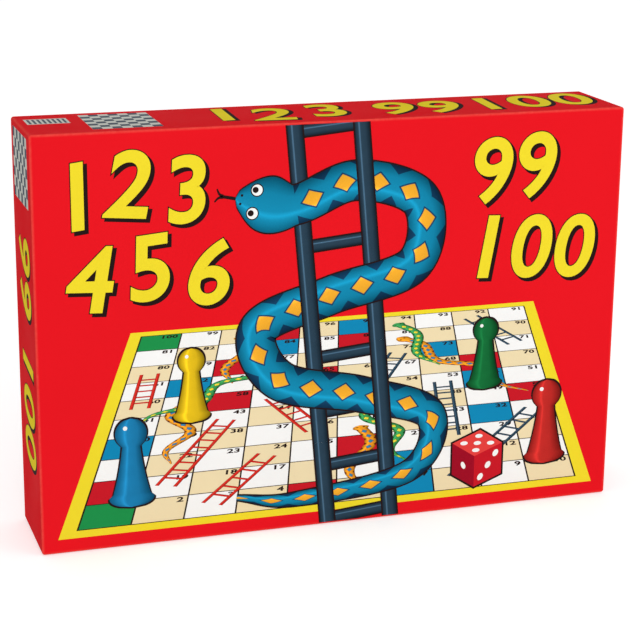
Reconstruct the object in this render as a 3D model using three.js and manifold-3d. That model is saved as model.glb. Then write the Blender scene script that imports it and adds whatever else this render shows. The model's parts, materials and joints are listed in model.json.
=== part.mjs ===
// A boxed snakes and ladders game: a covered set-up box (lid over base) that holds a folding
// playing board, a rules leaflet, turned wooden pawns and a die on a folded card insert.
// Units are millimetres. The game is modelled lying on its back, lid upwards, and the whole group
// is then stood on one long wall: +Z is up, the lid's face looks along -Y, and the origin is the
// middle of the wall that the box stands on.
import * as THREE from 'three';
import { mergeVertices } from 'three/addons/utils/BufferGeometryUtils.js';
import { RoundedBoxGeometry } from 'three/addons/geometries/RoundedBoxGeometry.js';
import Module from 'manifold-3d';

const wasm = await Module();
wasm.setup();

// Box
const BOX_LENGTH = 375;
const BOX_WIDTH = 258;
const BOX_DEPTH = 65;
const GREYBOARD = 1.5;
const PAPER = 0.25;
const GLUE = 0.05;
const EDGE_RADIUS = 1.2;
const CORNER_EXTRA_RADIUS = 0.6;
const TURN_IN = 18;
const TURN_IN_MITRE = 2.5;
const LID_FIT = 0.75;
const LID_SHORTFALL = 1.5;
const SEAT_GAP = 0.3;
const CORNER_SLIT = 0.3;
const STAY_TAPE = 0.2;
const STAY_LEG = 16;
const STAY_END_GAP = 4;

// Card insert
const CARD = 1.0;
const INSERT_FIT = 0.5;
const PIECE_TROUGH = 64;
const PLATFORM_LEDGE = 7.3;

// Playing board
const BOARD_CORE = 1.6;
const BOARD_END_CLEARANCE = 7.55;
const BOARD_TURN_IN = 12;
const LINING_INSET = 4;
const FOLD_GAP = 0.3;
const HINGE_CLEARANCE = 0.4;

// Rules leaflet, folded once
const LEAFLET_LENGTH = 210;
const LEAFLET_WIDTH = 148;
const LEAF = 0.2;
const LEAF_GAP = 0.4;
const LID_TO_LEAFLET = 0.5;

// Turned pawns and die
const PAWN_HEIGHT = 30;
const PAWN_FOOT_RADIUS = 8;
const PAWN_FOOT_RIM = 1.6;
const PAWN_FOOT_ROUND = 0.8;
const PAWN_SKIRT_RADIUS = 6.6;
const PAWN_NECK_RADIUS = 3.2;
const PAWN_HEAD_RADIUS = 5.6;
const PAWN_SIDES = 24;
const DIE_SIDE = 16;
const DIE_ROUND = 2.2;
const PIP_RADIUS = 1.7;
const PIP_DEPTH = 0.7;
const PIP_PITCH = 4.2;

// Sizes that follow from the ones above
const skin = PAPER + GLUE;
const coveredWall = skin + GREYBOARD + skin;
const baseLength = BOX_LENGTH - 2 * (coveredWall + LID_FIT);
const baseWidth = BOX_WIDTH - 2 * (coveredWall + LID_FIT);
const baseInnerLength = baseLength - 2 * coveredWall;
const baseInnerWidth = baseWidth - 2 * coveredWall;
const lidDepth = BOX_DEPTH - LID_SHORTFALL;
const lidCeiling = BOX_DEPTH - skin - GREYBOARD;
const baseDepth = lidCeiling - SEAT_GAP;
const baseFloor = skin + GREYBOARD;

const halfThickness = PAPER + GLUE + PAPER + GLUE + BOARD_CORE + GLUE + PAPER;
const leafletThickness = 2 * LEAF + LEAF_GAP;
const leafletTop = lidCeiling - LID_TO_LEAFLET;
const boardTop = leafletTop - leafletThickness - SEAT_GAP;
const foldHeight = boardTop - halfThickness - FOLD_GAP / 2;
const boardUnderside = foldHeight - FOLD_GAP / 2 - halfThickness;
const platformTop = boardUnderside - SEAT_GAP;

const lowWall = -baseInnerWidth / 2;
const insertFloor = baseFloor + SEAT_GAP;
const insertHigh = baseInnerWidth / 2 - INSERT_FIT;
const insertLow = lowWall + INSERT_FIT;
const insertLength = baseInnerLength - 2 * INSERT_FIT;
const shelfFace = insertHigh - CARD - PIECE_TROUGH;
const foldLine = shelfFace - PLATFORM_LEDGE;
const boardLength = baseInnerLength - 2 * BOARD_END_CLEARANCE;
const foldedWidth = foldLine - (lowWall + SEAT_GAP);

// Solids: a geometry becomes a solid that can be joined and cut, and goes back to a geometry.
function solid(geometry) {
  const bare = new THREE.BufferGeometry();
  const loose = geometry.index ? geometry.toNonIndexed() : geometry;
  bare.setAttribute('position', loose.getAttribute('position').clone());
  const merged = mergeVertices(bare, 1e-4);
  return new wasm.Manifold(new wasm.Mesh({
    numProp: 3,
    vertProperties: new Float32Array(merged.getAttribute('position').array),
    triVerts: new Uint32Array(merged.index.array),
  }));
}

function geometryOf(body) {
  const mesh = body.getMesh();
  const geometry = new THREE.BufferGeometry();
  geometry.setAttribute('position', new THREE.BufferAttribute(new Float32Array(mesh.vertProperties), 3));
  geometry.setIndex(new THREE.BufferAttribute(new Uint32Array(mesh.triVerts), 1));
  const flat = geometry.toNonIndexed();
  flat.computeVertexNormals();
  return flat;
}

// A block between two values on each axis.
function block([x0, x1], [y0, y1], [z0, z1]) {
  const geometry = new THREE.BoxGeometry(x1 - x0, y1 - y0, z1 - z0);
  return solid(geometry.translate((x0 + x1) / 2, (y0 + y1) / 2, (z0 + z1) / 2));
}

// A block centred on the Z axis.
function centredBlock(length, width, z) {
  return block([-length / 2, length / 2], [-width / 2, width / 2], z);
}

function roundedRectangle(length, width, radius) {
  const x = length / 2 - radius;
  const y = width / 2 - radius;
  const shape = new THREE.Shape();
  shape.absarc(x, y, radius, 0, Math.PI / 2);
  shape.absarc(-x, y, radius, Math.PI / 2, Math.PI);
  shape.absarc(-x, -y, radius, Math.PI, 1.5 * Math.PI);
  shape.absarc(x, -y, radius, 1.5 * Math.PI, 2 * Math.PI);
  shape.closePath();
  return shape;
}

const cornerSigns = [[1, 1], [-1, 1], [-1, -1], [1, -1]];

// The outside of a tray, taken in by an inset: rounded face edges and upright corners, flat rim.
function trayBody(length, width, inset, rim) {
  const round = EDGE_RADIUS - inset;
  const corner = round + CORNER_EXTRA_RADIUS;
  const rounded = new THREE.ExtrudeGeometry(
    roundedRectangle(length - 2 * inset, width - 2 * inset, corner),
    {
      depth: rim,
      curveSegments: 4,
      bevelEnabled: true,
      bevelThickness: round,
      bevelSize: round,
      bevelOffset: -round,
      bevelSegments: 4,
    },
  );
  const pastRim = centredBlock(length, width, [rim, rim + 4 * EDGE_RADIUS]);
  return solid(rounded.translate(0, 0, inset + round)).subtract(pastRim);
}

// Cover paper: one sheet over the face and walls, folded over the rim and turned in along the
// inside of the walls, where the turn-in is mitred at each corner.
function coverPaper(length, width, depth) {
  const mouthLength = length - 2 * coveredWall;
  const mouthWidth = width - 2 * coveredWall;
  const mouth = centredBlock(mouthLength, mouthWidth, [depth / 2, depth + 1]);
  const wallSpace = trayBody(length, width, PAPER, depth - PAPER);
  const shell = trayBody(length, width, 0, depth).subtract(wallSpace).subtract(mouth);
  const leafTop = depth - PAPER / 2;
  const leafBottom = depth - TURN_IN;
  let leaf = centredBlock(mouthLength + 2 * PAPER, mouthWidth + 2 * PAPER, [leafBottom, leafTop]);
  leaf = leaf.subtract(centredBlock(mouthLength, mouthWidth, [leafBottom - 1, leafTop + 1]));
  for (const [sx, sy] of cornerSigns) {
    const wedge = new THREE.ConeGeometry(TURN_IN_MITRE * Math.SQRT2, TURN_IN, 4, 1);
    wedge.rotateY(Math.PI / 4).rotateX(Math.PI / 2);
    wedge.translate(sx * mouthLength / 2, sy * mouthWidth / 2, depth - skin - TURN_IN / 2);
    leaf = leaf.subtract(solid(wedge));
  }
  return shell.add(leaf);
}

// The part of a tray's height and walls that a corner stay covers.
function stayZone(length, width, depth, [sx, sy], grow) {
  const near = STAY_LEG + skin + grow;
  const span = (sign, edge) => (sign > 0 ? [edge - near, edge] : [-edge, near - edge]);
  const reach = [skin + STAY_END_GAP - grow, depth - skin - STAY_END_GAP + grow];
  return block(span(sx, length / 2), span(sy, width / 2), reach);
}

// Corner stay: a strip of tape round an upright corner of the greyboard, sunk flush in its face.
function cornerStay(length, width, depth, corner) {
  const outside = trayBody(length, width, skin, depth);
  const sheet = outside.subtract(trayBody(length, width, skin + STAY_TAPE, depth));
  return sheet.intersect(stayZone(length, width, depth, corner, 0));
}

// Greyboard tray: one scored blank whose walls fold up. The short walls butt against the long
// ones, so a slit runs down each corner behind its stay.
function greyboardTray(length, width, depth) {
  const floor = skin + GREYBOARD;
  const insideLength = length - 2 * floor;
  const insideWidth = width - 2 * floor;
  let tray = trayBody(length, width, skin, depth - skin);
  tray = tray.subtract(centredBlock(insideLength, insideWidth, [floor, depth + 1]));
  const underStay = trayBody(length, width, skin + STAY_TAPE + GLUE, depth);
  for (const corner of cornerSigns) {
    const [sx, sy] = corner;
    const slit = new THREE.BoxGeometry(2 * GREYBOARD, CORNER_SLIT, depth);
    slit.translate(sx * length / 2, sy * (insideWidth - CORNER_SLIT) / 2, floor + depth / 2);
    const rebate = stayZone(length, width, depth, corner, GLUE).subtract(underStay);
    tray = tray.subtract(solid(slit)).subtract(rebate);
  }
  return tray;
}

// Insert: one strip of card folded into a platform for the board and a trough for the pieces.
function insertCard() {
  const section = new THREE.Shape();
  section.moveTo(insertLow, insertFloor);
  section.lineTo(insertLow + CARD, insertFloor);
  section.lineTo(insertLow + CARD, platformTop - CARD);
  section.lineTo(shelfFace - CARD, platformTop - CARD);
  section.lineTo(shelfFace - CARD, insertFloor);
  section.lineTo(insertHigh, insertFloor);
  section.lineTo(insertHigh, platformTop);
  section.lineTo(insertHigh - CARD, platformTop);
  section.lineTo(insertHigh - CARD, insertFloor + CARD);
  section.lineTo(shelfFace, insertFloor + CARD);
  section.lineTo(shelfFace, platformTop);
  section.lineTo(insertLow, platformTop);
  section.closePath();
  const strip = new THREE.ExtrudeGeometry(section, { depth: insertLength, bevelEnabled: false });
  strip.translate(0, 0, -insertLength / 2);
  return solid(strip.rotateX(Math.PI / 2).rotateZ(Math.PI / 2));
}

// One half of the playing board, face upwards, with the fold axis along X at y = 0, z = top.
const halfEnd = -HINGE_CLEARANCE;
const sheetEnd = halfEnd - PAPER - GLUE;

function boardPanel() {
  const x = boardLength / 2 - skin;
  const bottom = 2 * skin;
  return block([-x, x], [-foldedWidth + skin, sheetEnd], [bottom, bottom + BOARD_CORE]);
}

function boardFaceSheet() {
  const x = boardLength / 2;
  const back = skin;
  const sheet = block([-x, x], [-foldedWidth, sheetEnd], [back, halfThickness]);
  const coreSpace = block(
    [-x + PAPER, x - PAPER],
    [-foldedWidth + PAPER, sheetEnd + 1],
    [back + PAPER, halfThickness - PAPER],
  );
  const openBack = block(
    [-x + BOARD_TURN_IN, x - BOARD_TURN_IN],
    [-foldedWidth + BOARD_TURN_IN, sheetEnd + 1],
    [back - 1, back + PAPER + GLUE],
  );
  return sheet.subtract(coreSpace).subtract(openBack);
}

function boardBackLining() {
  const x = boardLength / 2 - LINING_INSET;
  const back = block([-x, x], [-foldedWidth + LINING_INSET, halfEnd], [0, PAPER]);
  const spine = block([-x, x], [halfEnd - PAPER, halfEnd], [0, halfThickness]);
  return back.add(spine);
}

// Rules leaflet: a sheet folded once, its fold on the upper edge.
function rulesLeaflet() {
  const outer = leafletThickness / 2;
  const inner = LEAF_GAP / 2;
  const turn = LEAFLET_WIDTH - outer;
  const section = new THREE.Shape();
  section.moveTo(0, 0);
  section.lineTo(turn, 0);
  section.absarc(turn, outer, outer, -Math.PI / 2, Math.PI / 2);
  section.lineTo(0, leafletThickness);
  section.lineTo(0, outer + inner);
  section.lineTo(turn, outer + inner);
  section.absarc(turn, outer, inner, Math.PI / 2, -Math.PI / 2, true);
  section.lineTo(0, outer - inner);
  section.closePath();
  const sheet = new THREE.ExtrudeGeometry(section, {
    depth: LEAFLET_LENGTH,
    curveSegments: 6,
    bevelEnabled: false,
  });
  sheet.translate(0, 0, -LEAFLET_LENGTH / 2);
  return solid(sheet.rotateX(Math.PI / 2).rotateZ(Math.PI / 2));
}

// Pawn: turned in one piece, standing on its foot: rounded foot, waisted body and ball head.
function pawn() {
  const headCentre = PAWN_HEIGHT - PAWN_HEAD_RADIUS;
  const neckAngle = Math.asin(PAWN_NECK_RADIUS / PAWN_HEAD_RADIUS);
  const neckHeight = headCentre - PAWN_HEAD_RADIUS * Math.cos(neckAngle);
  const skirtHeight = PAWN_FOOT_RIM + PAWN_FOOT_ROUND;
  const waist = (PAWN_SKIRT_RADIUS + PAWN_NECK_RADIUS) / 2 - PAWN_FOOT_ROUND;
  const profile = new THREE.Path();
  profile.moveTo(0, 0);
  profile.lineTo(PAWN_FOOT_RADIUS - PAWN_FOOT_ROUND, 0);
  profile.absarc(PAWN_FOOT_RADIUS - PAWN_FOOT_ROUND, PAWN_FOOT_ROUND, PAWN_FOOT_ROUND, -Math.PI / 2, 0);
  profile.lineTo(PAWN_FOOT_RADIUS, PAWN_FOOT_RIM);
  profile.quadraticCurveTo(PAWN_SKIRT_RADIUS, PAWN_FOOT_RIM, PAWN_SKIRT_RADIUS, skirtHeight);
  profile.quadraticCurveTo(waist, (skirtHeight + neckHeight) / 2, PAWN_NECK_RADIUS, neckHeight);
  profile.absarc(0, headCentre, PAWN_HEAD_RADIUS, -Math.PI / 2 + neckAngle, Math.PI / 2);
  const points = profile.getPoints(4);
  points.forEach((point) => {
    if (Math.abs(point.x) < 1e-6) point.x = 0;
  });
  return solid(new THREE.LatheGeometry(points, PAWN_SIDES));
}

// Die: a rounded cube with hollowed pips, opposite faces adding up to seven.
const pipSpots = {
  1: [[0, 0]],
  2: [[-1, -1], [1, 1]],
  3: [[-1, -1], [0, 0], [1, 1]],
  4: [[-1, -1], [-1, 1], [1, -1], [1, 1]],
  5: [[-1, -1], [-1, 1], [0, 0], [1, -1], [1, 1]],
  6: [[-1, -1], [-1, 0], [-1, 1], [1, -1], [1, 0], [1, 1]],
};
const dieFaces = [
  { pips: 5, tilt: [0, 0] },
  { pips: 2, tilt: [Math.PI, 0] },
  { pips: 3, tilt: [Math.PI / 2, 0] },
  { pips: 4, tilt: [-Math.PI / 2, 0] },
  { pips: 6, tilt: [0, Math.PI / 2] },
  { pips: 1, tilt: [0, -Math.PI / 2] },
];

function die() {
  let cube = solid(new RoundedBoxGeometry(DIE_SIDE, DIE_SIDE, DIE_SIDE, 3, DIE_ROUND));
  const pipCentre = DIE_SIDE / 2 + PIP_RADIUS - PIP_DEPTH;
  for (const { pips, tilt } of dieFaces) {
    for (const [u, v] of pipSpots[pips]) {
      const hollow = new THREE.SphereGeometry(PIP_RADIUS, 10, 8);
      hollow.translate(u * PIP_PITCH, v * PIP_PITCH, pipCentre);
      cube = cube.subtract(solid(hollow.rotateX(tilt[0]).rotateY(tilt[1])));
    }
  }
  return cube;
}

// Finishes
const finish = (color, roughness) => new THREE.MeshStandardMaterial({ color, roughness, metalness: 0 });
const finishes = {
  coverPaper: finish(0xe31b23, 0.35),
  greyboard: finish(0xb9b2a6, 0.9),
  stayTape: finish(0xcaa66f, 0.8),
  insertCard: finish(0xf1efe9, 0.8),
  boardFace: finish(0xf3df1f, 0.4),
  boardLining: finish(0x1f4f9c, 0.7),
  leaflet: finish(0xfbfaf5, 0.8),
};
const pawnFinishes = {
  pawn_red: finish(0xc8302c, 0.3),
  pawn_blue: finish(0x1f86b8, 0.3),
  pawn_green: finish(0x12723a, 0.3),
  pawn_yellow: finish(0xf2c81b, 0.3),
};
const dieFinish = finish(0xb3122b, 0.15);

function piece(name, body, material) {
  const mesh = new THREE.Mesh(geometryOf(body), material);
  mesh.name = name;
  return mesh;
}

// A lid or base: greyboard tray, cover paper and corner stays, opening towards +Z.
function coveredTray(name, length, width, depth) {
  const tray = new THREE.Group();
  tray.add(piece(name + '_greyboard', greyboardTray(length, width, depth), finishes.greyboard));
  tray.add(piece(name + '_cover_paper', coverPaper(length, width, depth), finishes.coverPaper));
  cornerSigns.forEach((corner, i) => {
    const stay = cornerStay(length, width, depth, corner);
    tray.add(piece(`${name}_corner_stay_${i + 1}`, stay, finishes.stayTape));
  });
  return tray;
}

function boardHalf(name) {
  const half = new THREE.Group();
  half.add(piece(name + '_panel', boardPanel(), finishes.greyboard));
  half.add(piece(name + '_face_sheet', boardFaceSheet(), finishes.boardFace));
  half.add(piece(name + '_back_lining', boardBackLining(), finishes.boardLining));
  return half;
}

// Assembly, lying on its back with the lid upwards.
const game = new THREE.Group();

game.add(coveredTray('base', baseLength, baseWidth, baseDepth));

const lid = coveredTray('lid', BOX_LENGTH, BOX_WIDTH, lidDepth);
lid.rotation.x = Math.PI;
lid.position.z = BOX_DEPTH;
game.add(lid);

game.add(piece('insert_card', insertCard(), finishes.insertCard));

const rearHalf = boardHalf('board_rear');
rearHalf.position.set(0, foldLine, boardUnderside);
const frontHalf = boardHalf('board_front');
frontHalf.rotation.y = Math.PI;
frontHalf.position.set(0, foldLine, boardTop);
game.add(rearHalf, frontHalf);

const leaflet = piece('rules_leaflet', rulesLeaflet(), finishes.leaflet);
leaflet.position.set(0, lowWall + SEAT_GAP, leafletTop - leafletThickness);
game.add(leaflet);

// The pieces stand in a row on the trough's lower wall, which is a shelf while the box stands up.
const pieceCount = Object.keys(pawnFinishes).length + 1;
const piecePitch = insertLength / pieceCount;
const pieceX = (i) => (i - (pieceCount - 1) / 2) * piecePitch;
const pieceHeight = (insertFloor + CARD + platformTop) / 2;

Object.entries(pawnFinishes).forEach(([name, material], i) => {
  const standing = piece(name, pawn(), material);
  standing.position.set(pieceX(i), shelfFace + SEAT_GAP, pieceHeight);
  game.add(standing);
});

const cube = piece('die', die(), dieFinish);
cube.position.set(pieceX(pieceCount - 1), shelfFace + SEAT_GAP + DIE_SIDE / 2, pieceHeight);
game.add(cube);

// Stand the box on its lower long wall.
game.rotation.x = Math.PI / 2;
game.position.set(0, BOX_DEPTH / 2, BOX_WIDTH / 2);

const part = new THREE.Group();
part.add(game);
export default part;
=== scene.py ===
# %% [markdown]
# A boxed snakes and ladders game
#
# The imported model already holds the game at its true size: a covered cardboard box, and inside it
# a folding board, pawns, a die, a leaflet and a card insert. This lesson dresses that model. It
# sets up a camera and soft light, mixes the finishes, lays the printing on the box and the board
# as thin ink films, and turns the smooth little pieces. Every new piece rides on the part of the
# game that carries it, so the lid still lifts and the board still opens.

import json
import math
from collections import defaultdict

import bmesh
import bpy
from mathutils import Matrix, Vector


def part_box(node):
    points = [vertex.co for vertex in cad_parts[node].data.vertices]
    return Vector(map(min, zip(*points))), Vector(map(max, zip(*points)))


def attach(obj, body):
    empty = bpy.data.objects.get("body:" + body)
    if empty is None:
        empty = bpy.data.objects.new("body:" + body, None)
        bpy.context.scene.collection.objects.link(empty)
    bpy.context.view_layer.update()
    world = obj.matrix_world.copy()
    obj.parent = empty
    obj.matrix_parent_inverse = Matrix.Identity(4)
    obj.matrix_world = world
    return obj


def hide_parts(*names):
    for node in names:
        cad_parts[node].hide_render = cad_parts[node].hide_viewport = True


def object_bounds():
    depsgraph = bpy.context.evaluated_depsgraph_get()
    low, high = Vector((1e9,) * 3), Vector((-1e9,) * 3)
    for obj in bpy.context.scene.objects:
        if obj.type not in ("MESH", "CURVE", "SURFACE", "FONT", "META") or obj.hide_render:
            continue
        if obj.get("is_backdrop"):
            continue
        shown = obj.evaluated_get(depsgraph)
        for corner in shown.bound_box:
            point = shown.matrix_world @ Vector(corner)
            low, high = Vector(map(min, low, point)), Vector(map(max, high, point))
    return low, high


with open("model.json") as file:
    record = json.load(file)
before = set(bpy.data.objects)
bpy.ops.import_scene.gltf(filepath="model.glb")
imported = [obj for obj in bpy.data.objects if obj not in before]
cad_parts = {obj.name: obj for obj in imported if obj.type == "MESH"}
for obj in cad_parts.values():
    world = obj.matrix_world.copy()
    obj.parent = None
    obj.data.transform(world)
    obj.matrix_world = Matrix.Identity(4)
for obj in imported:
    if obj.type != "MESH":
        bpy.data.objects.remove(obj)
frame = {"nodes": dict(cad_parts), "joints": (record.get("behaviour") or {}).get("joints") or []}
scene = bpy.context.scene
cad_low, cad_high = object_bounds()
print("loaded", len(frame["nodes"]), "pieces, box", [round(v, 4) for v in cad_high - cad_low])

# %% [markdown]
# Camera
#
# The game is seen through a long lens from a little over a metre away, somewhat from the left and
# from above. A camera can be moved by eye until the picture looks right. Here a pinhole camera was
# fitted to the box's corners, because that gives lens, place and angles together. A new camera looks
# down, so it is first tipped up to look along +Y, and then rolled, pitched and turned. The place is
# in metres and the angles are in degrees.

# %% Set up the camera
FOCAL_PIXELS = 1902.5
FRAME_PIXELS = 640.0
SENSOR = 36.0
STAND = (-0.3596, -1.0996, 0.4581)
TURN, PITCH, ROLL = -18.04, -16.07, -0.57
TIP_UP = 90.0


def turn(degrees, axis):
    return Matrix.Rotation(math.radians(degrees), 4, axis)


lens = bpy.data.cameras.new("view_camera")
lens.sensor_width = SENSOR
lens.lens = FOCAL_PIXELS / FRAME_PIXELS * SENSOR
camera = bpy.data.objects.new("view_camera", lens)
scene.collection.objects.link(camera)
looking = turn(TURN, "Z") @ turn(PITCH, "X") @ turn(ROLL, "Y") @ turn(TIP_UP, "X")
camera.matrix_world = Matrix.Translation(STAND) @ looking
scene.camera = camera
print("camera lens", round(lens.lens, 1), "mm")

# %% [markdown]
# Node helpers
#
# Each finish is a small node tree that ends in a Principled shader. Such a tree is often wired by
# hand in the Shader Editor. In a script a few helpers keep it short: one adds a node and sets or
# links its sockets, and the others wrap the nodes that most finishes here need.


# %% Wrap the nodes
def start_finish(name, roughness, specular=0.5):
    """A new material, its node tree and its shader."""
    material = bpy.data.materials.new(name)
    material.use_nodes = True
    tree = material.node_tree
    shader = tree.nodes["Principled BSDF"]
    shader.inputs["Roughness"].default_value = roughness
    shader.inputs["Specular IOR Level"].default_value = specular
    return material, tree, shader


def add(tree, kind, sockets=None, **settings):
    """A new node. A socket's value is a number, a colour or another node's output to link."""
    node = tree.nodes.new(kind)
    for key, value in settings.items():
        setattr(node, key, value)
    for key, value in (sockets or {}).items():
        if isinstance(value, bpy.types.NodeSocket):
            tree.links.new(value, node.inputs[key])
        else:
            node.inputs[key].default_value = value
    return node


def maths(tree, operation, a, b=0.0):
    return add(tree, "ShaderNodeMath", {0: a, 1: b}, operation=operation).outputs[0]


def map_range(tree, value, low, high, to_low=0.0, to_high=1.0):
    sockets = {0: value, 1: low, 2: high, 3: to_low, 4: to_high}
    return add(tree, "ShaderNodeMapRange", sockets).outputs[0]


def blend_colours(tree, factor, first, second, how="MIX"):
    sockets = {0: factor, 6: first, 7: second}
    return add(tree, "ShaderNodeMix", sockets, data_type="RGBA", blend_type=how).outputs[2]


def object_place(tree):
    return add(tree, "ShaderNodeTexCoord").outputs["Object"]


def split(tree, vector):
    return add(tree, "ShaderNodeSeparateXYZ", {0: vector}).outputs


def noise(tree, place, scale, detail=3.0, roughness=0.5):
    sockets = {"Vector": place, "Scale": scale, "Detail": detail, "Roughness": roughness}
    return add(tree, "ShaderNodeTexNoise", sockets).outputs["Fac"]


def bump(tree, height, strength, distance):
    sockets = {"Height": height, "Strength": strength, "Distance": distance}
    return add(tree, "ShaderNodeBump", sockets).outputs["Normal"]


print("node helpers are ready")

# %% [markdown]
# Satin film
#
# The box's paper and all its printing lie under one thin satin film. Up close such a film has a faint
# orange peel, and fingers leave it duller in patches. The shader's Coat would add a second gloss on
# top. This film is so thin that it only changes the paper's own gloss, so a fine noise goes into the
# bump and a slow one into the roughness.

# %% Lay the satin film
SATIN_ROUGHNESS = 0.60
SATIN_SPECULAR = 0.005
POLISHED, DULLED = 0.08, 0.06
PEEL = 0.1


def satin_film(tree, shader, place, relief=None):
    """The film's peel and its handled patches. relief is a height that shows through it."""
    height = maths(tree, "MULTIPLY", noise(tree, place, scale=900.0, detail=2.0), PEEL)
    if relief is not None:
        height = maths(tree, "ADD", height, relief)
    tree.links.new(bump(tree, height, strength=0.5, distance=0.0002), shader.inputs["Normal"])
    handled = noise(tree, place, scale=22.0, detail=4.0, roughness=0.6)
    patches = map_range(tree, handled, low=0.3, high=0.7,
                        to_low=SATIN_ROUGHNESS - POLISHED, to_high=SATIN_ROUGHNESS + DULLED)
    tree.links.new(patches, shader.inputs["Roughness"])


print("the film's roughness is about", SATIN_ROUGHNESS)

# %% [markdown]
# Cover paper
#
# The box is wrapped in red paper. Along its edges the colour turns a lighter orange red: partly the ink
# rubbed thin where the paper is bent over the board, and partly a painted highlight, the light that the
# rounded edges would catch. On the two end walls the long walls' paper runs round the corner under the
# ends' own paper, and its edge shows through as a faint step. Marks like these can be painted on a texture
# by hand. Here plain arithmetic on Object coordinates places them, so they stay sharp at any distance: a
# point lies on an edge of the box where it is close to two of its faces at once. The widths are in metres.

# %% Mix the cover paper
RED = (0.80, 0.0095, 0.0165, 1.0)
RED_DEEP = (0.73, 0.0080, 0.0140, 1.0)
# The lighter edge red: rubbed ink and a painted highlight on the rounded edges in one colour.
RUBBED_AND_HIGHLIT = (0.92, 0.14, 0.10, 1.0)
FLAP = 0.014
FLAP_STEP = 0.0002
ON_FACE = 0.0003
END_DEPTH = 0.0006
EDGE_BAND_DEPTH = 0.0018


def box_depths(tree, place, low, high):
    """For each axis, metres past the box's faces: 0 on a face and negative inside."""
    axes = split(tree, place)
    depths = []
    for i in range(3):
        away = maths(tree, "ABSOLUTE", maths(tree, "SUBTRACT", axes[i], (low[i] + high[i]) / 2))
        depths.append(maths(tree, "SUBTRACT", away, (high[i] - low[i]) / 2))
    return depths


def edge_closeness(tree, depths):
    """The depth from the nearest edge: the larger of the smaller depths of each two faces."""
    near = [maths(tree, "MINIMUM", depths[a], depths[b]) for a, b in ((0, 1), (1, 2), (0, 2))]
    return maths(tree, "MAXIMUM", maths(tree, "MAXIMUM", near[0], near[1]), near[2])


def cover_paper(name, node):
    material, tree, shader = start_finish(name, SATIN_ROUGHNESS, SATIN_SPECULAR)
    place = object_place(tree)
    depths = box_depths(tree, place, *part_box(node))
    on_end = map_range(tree, depths[0], -END_DEPTH, -ON_FACE)
    on_flap = map_range(tree, depths[1], -FLAP - FLAP_STEP, -FLAP + FLAP_STEP)
    satin_film(tree, shader, place, maths(tree, "MULTIPLY", on_end, on_flap))
    tone = blend_colours(tree, noise(tree, place, scale=9.0, detail=5.0), RED, RED_DEEP)
    # A band along the edges, broken up by noise, is blended to the lighter red: partly wear, partly
    # painted highlight.
    line = map_range(tree, edge_closeness(tree, depths), -EDGE_BAND_DEPTH, -ON_FACE)
    fibres = noise(tree, place, scale=420.0, detail=7.0, roughness=0.75)
    band_breakup = map_range(tree, fibres, low=0.35, high=0.80, to_low=0.25, to_high=0.70)
    wear_and_shine = maths(tree, "MULTIPLY", line, band_breakup)
    tree.links.new(blend_colours(tree, wear_and_shine, tone, RUBBED_AND_HIGHLIT), shader.inputs["Base Color"])
    return material


LID_PAPER = cover_paper("lid_cover_paper_red", "lid_cover_paper")
BASE_PAPER = cover_paper("base_cover_paper_red", "base_cover_paper")
print("mixed", LID_PAPER.name, "and", BASE_PAPER.name)

# %% [markdown]
# Flat inks
#
# Numbers, squares and outlines are printed in even inks, all under the satin film. A plain colour on
# the shader would do from far off, but up close it looks like plastic, because a printed ink is never
# quite even. So a slow mottle and a fine grain, two noise textures of very different scale, move its
# tone a little.

# %% Mix the flat inks
MOTTLE = 0.10
GRAIN = 0.18
FLAT_COLOURS = {
    "yellow": (0.88, 0.71, 0.028, 1.0),
    "dark": (0.020, 0.010, 0.010, 1.0),
    "white": (0.93, 0.93, 0.91, 1.0),
    "cream": (0.86, 0.72, 0.44, 1.0),
    "red": (0.58, 0.012, 0.022, 1.0),
    "scarlet": (0.78, 0.055, 0.050, 1.0),
    "crimson": (0.34, 0.006, 0.020, 1.0),
    "blue": (0.007, 0.245, 0.465, 1.0),
    "green": (0.015, 0.280, 0.070, 1.0),
    "pale": (0.66, 0.68, 0.62, 1.0),
    "grey": (0.100, 0.120, 0.150, 1.0),
}


def shade_of(colour, share):
    """A colour at a share of its brightness."""
    return tuple(channel * share for channel in colour[:3]) + (1.0,)


def flat_ink(name, colour):
    material, tree, shader = start_finish(name, SATIN_ROUGHNESS, SATIN_SPECULAR)
    place = object_place(tree)
    satin_film(tree, shader, place)
    deeper = shade_of(colour, 1.0 - MOTTLE)
    mottled = blend_colours(tree, noise(tree, place, scale=45.0, detail=4.0), colour, deeper)
    grain = maths(tree, "MULTIPLY", noise(tree, place, scale=1800.0, detail=1.0), GRAIN)
    tree.links.new(blend_colours(tree, grain, mottled, deeper), shader.inputs["Base Color"])
    return material


INKS = {name: flat_ink("ink_" + name, colour) for name, colour in FLAT_COLOURS.items()}
print("mixed", len(INKS), "flat inks")

# %% [markdown]
# Shaded strips
#
# Rails, rungs, snakes and the printed pawns are painted as if they were round: darker towards both
# edges, with a light streak off the middle. Real light on round shapes would do that, but these are
# flat prints, so the shading is in the ink. Each is a strip with a UV map that runs along and across
# it, and a colour ramp across the strip follows it round every bend.

# %% Mix the painted inks
STREAK = 0.70
SHINE = 1.45
SLATE_SHINE = 3.2
STRIP_SHADES = {0.0: 0.30, 0.30: 0.85, 0.62: 1.0, 0.78: 1.0, 1.0: 0.45}
BRUSHED = 0.8
LADDER_RED = (0.70, 0.03, 0.02, 1.0)
SLATE = (0.028, 0.060, 0.094, 1.0)
PAWN_COLOURS = {
    "pawn_red": (0.60, 0.030, 0.025, 1.0),
    "pawn_blue": (0.015, 0.230, 0.480, 1.0),
    "pawn_green": (0.010, 0.170, 0.045, 1.0),
    "pawn_yellow": (0.88, 0.58, 0.015, 1.0),
}


def grey(value):
    return (value, value, value, 1.0)


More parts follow.
